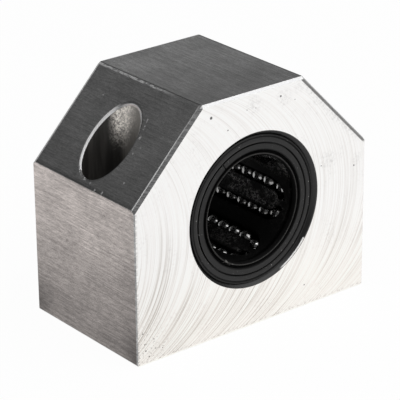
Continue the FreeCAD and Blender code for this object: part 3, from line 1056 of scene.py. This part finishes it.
@dataclass(frozen=True)
class EndSeal:
    """One end's turned ring and moulded lip seal: radii, and depths from the sleeve's end, in millimetres."""

    end: End
    segments: int = 240
    ring_outer: float = 13.505
    ring_inner: float = 12.505
    ring_step: float = 0.2
    ring_front: float = 0.05
    ring_crown: float = 0.09
    crown_points: int = 9
    ring_lip: float = 0.55
    ring_back: float = 1.75
    bead: float = 13.605
    bead_start: float = 0.9
    bead_end: float = 1.3
    carrier_bore: float = 11.15
    lip_radius: float = 10.05
    lip_root: float = 0.6
    rim_inner: float = 10.30
    rim_outer: float = 10.50
    rim_front: float = 0.12
    tip_start: float = 0.62
    tip_end: float = 0.92
    floor: float = 0.85
    back: float = 1.65
    seat_gap: float = 0.02
    body: float = 0.38
    relief: float = 0.33
    rim_corner: float = 0.04
    anchor_radius: float = 11.75
    anchor_start: float = 0.95
    anchor_end: float = 1.40
    ring_round: float = 0.04
    lip_round: float = 0.02
    sharp: float = 40.0

    def ring_section(self) -> Section:
        """The end ring's half section, with a crowned face.

        Returns:
            Radius and depth pairs.
        """
        middle = (self.ring_outer + self.ring_inner) / 2
        half = (self.ring_outer - self.ring_inner) / 2
        crown = []
        for step in range(self.crown_points):
            part = 2 * step / (self.crown_points - 1) - 1
            crown.append((middle + part * half, self.ring_front + self.ring_crown * part ** 4))
        return crown + [
            (self.ring_outer, self.bead_start), (self.bead, self.bead_start), (self.bead, self.bead_end),
            (self.ring_outer, self.bead_end), (self.ring_outer, self.ring_back),
            (self.ring_inner + self.ring_step, self.ring_back),
            (self.ring_inner + self.ring_step, self.ring_lip),
            (self.ring_inner, self.ring_lip),
        ]

    def lip_section(self) -> Section:
        """The lip seal's half section.

        Returns:
            Radius and depth pairs.
        """
        outer = self.carrier_bore - self.seat_gap
        inner = outer - self.body
        return [
            (outer, self.floor), (self.lip_radius + self.lip_root, self.floor),
            (self.rim_outer, self.rim_front + self.rim_corner),
            (self.rim_outer - self.rim_corner, self.rim_front),
            (self.rim_inner + self.rim_corner, self.rim_front),
            (self.rim_inner, self.rim_front + self.rim_corner),
            (self.lip_radius, self.tip_start), (self.lip_radius, self.tip_end),
            (inner, self.tip_end + self.relief), (inner, self.back), (outer, self.back),
            (outer, self.anchor_end), (self.anchor_radius, self.anchor_end),
            (self.anchor_radius, self.anchor_start), (outer, self.anchor_start),
        ]

    def turned(self, name: str, section: Section, round_mm: float,
               material: bpy.types.Material) -> bpy.types.Object:
        """Spins a section about the shaft.

        Args:
            name: the piece's name.
            section: its half section.
            round_mm: the radius of its edges.
            material: its finish.

        Returns:
            The piece.
        """
        bm = bmesh.new()
        points = []
        for radius, depth in section:
            y = self.end.value * (SLEEVE_END - depth)
            points.append(bm.verts.new((radius * MM, y * MM, SHAFT_HEIGHT * MM)))
        for first, second in zip(points, points[1:] + points[:1]):
            bm.edges.new((first, second))
        bmesh.ops.spin(bm, geom=bm.verts[:] + bm.edges[:], cent=(0, 0, SHAFT_HEIGHT * MM), axis=(0, 1, 0),
                       dvec=(0, 0, 0), angle=math.tau, steps=self.segments, use_merge=True)
        bmesh.ops.remove_doubles(bm, verts=bm.verts[:], dist=0.0001 * MM)
        corners = [edge for edge in bm.edges
                   if self.runs_round(edge) and edge.calc_face_angle(0) > math.radians(30)]
        bmesh.ops.bevel(bm, geom=corners, offset=round_mm * MM, offset_type="OFFSET", segments=3, profile=0.5,
                        affect="EDGES", material=-1, clamp_overlap=True)
        piece = piece_of(bm, name, material, self.sharp)
        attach(piece, "block")
        LOG.info("%s turned", name)
        return piece

    @staticmethod
    def runs_round(edge: bmesh.types.BMEdge) -> bool:
        """Tells an edge that goes round the shaft.

        Args:
            edge: the edge.

        Returns:
            Whether it keeps its depth and radius.
        """
        first, second = (vert.co for vert in edge.verts)
        radii = [math.hypot(point.x, point.z - SHAFT_HEIGHT * MM) for point in (first, second)]
        return abs(first.y - second.y) < 1e-8 and abs(radii[0] - radii[1]) < 1e-8

    def build(self, steel: bpy.types.Material, rubber: bpy.types.Material) -> None:
        """Makes the two pieces.

        Args:
            steel: the ring's finish.
            rubber: the lip's finish.
        """
        ring = self.turned(f"{self.end.word}_ring_turned", self.ring_section(), self.ring_round, steel)
        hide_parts(f"{self.end.word}_end_ring")
        lip = self.turned(f"{self.end.word}_lip_moulded", self.lip_section(), self.lip_round, rubber)
        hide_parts(f"{self.end.word}_lip_seal")


@dataclass(frozen=True)
class BallCircuit:
    """One loop of balls: a loaded row, a return row and two turns, each group on its own body."""

    number: int
    ball_diameter: float = 2.9
    pitch: float = 3.1
    balls_per_row: int = 5
    balls_per_turn: int = 3
    loaded_radius: float = 11.46
    return_radius: float = 11.925
    fineness: int = 4

    @property
    def turn_radius(self) -> float:
        """The turn's radius, from the balls that fill its half circle."""
        return self.balls_per_turn * self.pitch / math.pi

    @property
    def turn_centre(self) -> float:
        """The turn's middle, from the middle of the row."""
        return self.balls_per_row * self.pitch / 2

    def spot(self, radius: float, offset: float, y: float) -> Vector:
        """A ball's middle.

        Args:
            radius: the distance from the shaft.
            offset: the distance to the side of the circuit's middle.
            y: the place along the shaft.

        Returns:
            The point (m).
        """
        height = math.sqrt(radius ** 2 - offset ** 2)
        angle = math.radians(FIRST_CIRCUIT_ANGLE + (self.number - 1) * 360 / CIRCUITS)
        x = height * math.cos(angle) - offset * math.sin(angle)
        z = height * math.sin(angle) + offset * math.cos(angle)
        return Vector((x, y, SHAFT_HEIGHT + z)) * MM

    def row(self, radius: float, offset: float) -> list[Vector]:
        """A straight row."""
        first = -(self.balls_per_row - 1) / 2 * self.pitch
        return [self.spot(radius, offset, first + self.pitch * index) for index in range(self.balls_per_row)]

    def turn(self, end: End) -> list[Vector]:
        """The balls of one turn.

        Args:
            end: which end's turn.

        Returns:
            The balls' middles.
        """
        spots = []
        for index in range(self.balls_per_turn):
            angle = math.pi / self.balls_per_turn * (index + 0.5)
            y = end.value * (self.turn_centre + self.turn_radius * math.sin(angle))
            spots.append(self.spot(self.return_radius, self.turn_radius * math.cos(angle), y))
        return spots

    def build(self, material: bpy.types.Material) -> None:
        """Makes the four groups.

        Args:
            material: the finish.
        """
        groups = {
            "loaded_balls": self.row(self.loaded_radius, self.turn_radius),
            "return_balls": self.row(self.return_radius, -self.turn_radius),
            "front_turn_balls": self.turn(End.FRONT),
            "rear_turn_balls": self.turn(End.REAR),
        }
        for group, spots in groups.items():
            node = f"circuit_{self.number}_{group}"
            bm = bmesh.new()
            for spot in spots:
                bmesh.ops.create_icosphere(bm, subdivisions=self.fineness, radius=self.ball_diameter / 2 * MM,
                                           matrix=Matrix.Translation(spot))
            piece = piece_of(bm, f"{node}_polished", material, 60.0)
            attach(piece, node)
            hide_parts(node)
            LOG.info("%s made, %.3f mm from its node's corner", node, self.miss(node, spots))

    def miss(self, node: str, spots: list[Vector]) -> float:
        """Measures how far the new balls' lowest corner lies from the node's."""
        corner = [min(spot[axis] for spot in spots) - self.ball_diameter / 2 * MM for axis in range(3)]
        return max(abs(a - b) for a, b in zip(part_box(node)[0], corner)) / MM


def dress(name: str, material: bpy.types.Material) -> None:
    """Gives a CAD node its finish.

    Args:
        name: the node's name.
        material: its finish.
    """
    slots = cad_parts[name].data.materials
    slots.clear()
    slots.append(material)


# ---------------------------------------------------------------- room


@dataclass(frozen=True)
class Lamp:
    """A soft round lamp: its direction from the block (degrees), distance and size (m) and power (W)."""

    name: str
    azimuth: float
    elevation: float
    distance: float
    size: float
    power: float


@dataclass
class Studio:
    """A pale floor, soft lamps and the camera."""

    azimuth: float = -38.49
    elevation: float = 23.41
    roll: float = -0.572
    distance: float = 0.4065
    aim: tuple[float, float, float] = (0.00004, 0.00041, 0.01935)
    lens: float = 200.26
    sensor: float = 36.0
    seen_from: float = 0.01
    seen_to: float = 20.0
    floor_size: float = 6.0
    floor_gap: float = 0.0001
    floor_glow: float = 0.97
    room_light: float = 0.12
    wall_away: float = 2.6
    wall_height: float = 0.6
    wall_steps: int = 24
    lamps: list[Lamp] = field(default_factory=lambda: [
        Lamp("key", 35.0, 42.0, 0.9, 1.3, 7.0),
        Lamp("fill", -30.0, 76.0, 0.9, 0.5, 2.0),
    ])

    def floor(self) -> None:
        """Lays the floor just below the block."""
        mesh = bpy.data.meshes.new("floor")
        bm = bmesh.new()
        bmesh.ops.create_grid(bm, x_segments=1, y_segments=1, size=self.floor_size / 2)
        bm.to_mesh(mesh)
        bm.free()
        floor = bpy.data.objects.new("floor", mesh)
        bpy.context.collection.objects.link(floor)
        floor.location.z = -self.floor_gap
        material = bpy.data.materials.new("floor_white")
        material.use_nodes = True
        nodes, links = material.node_tree.nodes, material.node_tree.links
        nodes.clear()
        path = nodes.new("ShaderNodeLightPath")
        mirrored = nodes.new("ShaderNodeMath")
        mirrored.operation = "MAXIMUM"
        links.new(path.outputs["Is Glossy Ray"], mirrored.inputs[0])
        links.new(path.outputs["Is Transmission Ray"], mirrored.inputs[1])
        seen = nodes.new("ShaderNodeMath")
        seen.operation = "MAXIMUM"
        links.new(path.outputs["Is Camera Ray"], seen.inputs[0])
        links.new(mirrored.outputs[0], seen.inputs[1])
        share = nodes.new("ShaderNodeMath")
        share.operation = "MULTIPLY"
        share.inputs[1].default_value = self.floor_glow
        links.new(seen.outputs[0], share.inputs[0])
        diffuse = nodes.new("ShaderNodeBsdfDiffuse")
        diffuse.inputs["Color"].default_value = grey(0.9)
        glow = nodes.new("ShaderNodeEmission")
        glow.inputs["Color"].default_value = grey(1.0)
        mixed = nodes.new("ShaderNodeMixShader")
        links.new(share.outputs[0], mixed.inputs[0])
        links.new(diffuse.outputs[0], mixed.inputs[1])
        links.new(glow.outputs[0], mixed.inputs[2])
        out = nodes.new("ShaderNodeOutputMaterial")
        links.new(mixed.outputs[0], out.inputs["Surface"])
        mesh.materials.append(material)
        floor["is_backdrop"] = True
        self.backdrop(material)

    def backdrop(self, material: bpy.types.Material) -> None:
        """Stands a low pale wall behind the block, out of view, for the metal to mirror.

        Args:
            material: its white.
        """
        mesh = bpy.data.meshes.new("backdrop")
        bm = bmesh.new()
        foot = bm.verts.new((self.wall_away, 0.0, 0.0))
        head = bm.verts.new((self.wall_away, 0.0, self.wall_height))
        bmesh.ops.spin(bm, geom=[foot, head, bm.edges.new((foot, head))], cent=(0, 0, 0), axis=(0, 0, 1),
                       dvec=(0, 0, 0), angle=math.pi, steps=self.wall_steps)
        bm.to_mesh(mesh)
        bm.free()
        mesh.materials.append(material)
        wall = bpy.data.objects.new("backdrop", mesh)
        bpy.context.collection.objects.link(wall)
        wall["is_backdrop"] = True

    def light(self, lamp: Lamp) -> None:
        """Hangs a soft lamp.

        Args:
            lamp: the lamp.
        """
        data = bpy.data.lights.new(lamp.name, "AREA")
        data.shape = "DISK"
        data.size = lamp.size
        data.energy = lamp.power
        hung = bpy.data.objects.new(lamp.name, data)
        bpy.context.collection.objects.link(hung)
        away = self.direction(lamp.azimuth, lamp.elevation)
        hung.location = Vector(self.aim) + away * lamp.distance
        hung.rotation_mode = "QUATERNION"
        hung.rotation_quaternion = (-away).to_track_quat("-Z", "Y")

    @staticmethod
    def direction(azimuth: float, elevation: float) -> Vector:
        """A direction away from the block."""
        a, e = math.radians(azimuth), math.radians(elevation)
        return Vector((math.sin(a) * math.cos(e), -math.cos(a) * math.cos(e), math.sin(e)))

    def world(self) -> None:
        """Sets the even light of the room."""
        world = bpy.data.worlds.new("room")
        bpy.context.scene.world = world
        world.use_nodes = True
        world.node_tree.nodes["Background"].inputs["Color"].default_value = grey(1.0)
        world.node_tree.nodes["Background"].inputs["Strength"].default_value = self.room_light

    def camera(self) -> None:
        """Places the camera."""
        data = bpy.data.cameras.new("camera")
        data.sensor_width = self.sensor
        data.lens = self.lens
        data.clip_start = self.seen_from
        data.clip_end = self.seen_to
        camera = bpy.data.objects.new("camera", data)
        bpy.context.collection.objects.link(camera)
        back = self.direction(self.azimuth, self.elevation)
        right = Vector((0, 0, 1)).cross(back).normalized()
        up = back.cross(right)
        turn = math.radians(self.roll)
        across = right * math.cos(turn) + up * math.sin(turn)
        above = up * math.cos(turn) - right * math.sin(turn)
        basis = Matrix((across, above, back)).transposed().to_4x4()
        basis.translation = Vector(self.aim) + back * self.distance
        camera.matrix_world = basis
        bpy.context.scene.camera = camera

    def build(self) -> None:
        """Makes the floor, the lamps and the camera."""
        self.floor()
        self.world()
        for lamp in self.lamps:
            self.light(lamp)
        self.camera()
        LOG.info("studio built")


def main() -> None:
    """Builds every part in order and reports it."""
    logging.basicConfig(level=logging.INFO, format="%(message)s")
    low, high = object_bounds()
    block = Block(*(round(length / MM, 2) for length in high))
    aluminium = MachinedAluminium(block).build()
    sleeve = DarkFinish("sleeve_steel", 0.004, 0.42, specular=0.31, painted_shade_rings=((13.62, 0.16),)).build()
    ring = DarkFinish("end_ring_steel", 0.004, 0.38, specular=0.37,
                      painted_shade_rings=((12.52, 0.1), (13.5, 0.12))).build()
    carrier = DarkFinish("carrier_plastic", 0.004, 0.48, ring_depth=0.002, specular=0.37, shaded_within=11.35,
                         painted_shade_rings=((12.5, 0.12),)).build()
    rubber = LipRubber().build()
    plastic = GreasedPlastic().build()
    SmoothCopy("housing", "block_machined", "aluminium_block").build(aluminium)
    dress("housing", aluminium)
    SmoothCopy("ball_cage", "cage_moulded", "cage_plastic").build(plastic)
    dress("ball_cage", plastic)
    dress("outer_sleeve", sleeve)
    for end in End:
        dress(f"{end.word}_seal_carrier", carrier)
        EndSeal(end).build(ring, rubber)
    ball = PolishedBall().build()
    for number in range(1, CIRCUITS + 1):
        BallCircuit(number).build(ball)
    Studio().build()
    bpy.context.scene.view_settings.view_transform = "Standard"
    LOG.info("sizes written")


if __name__ == "__main__":
    main()
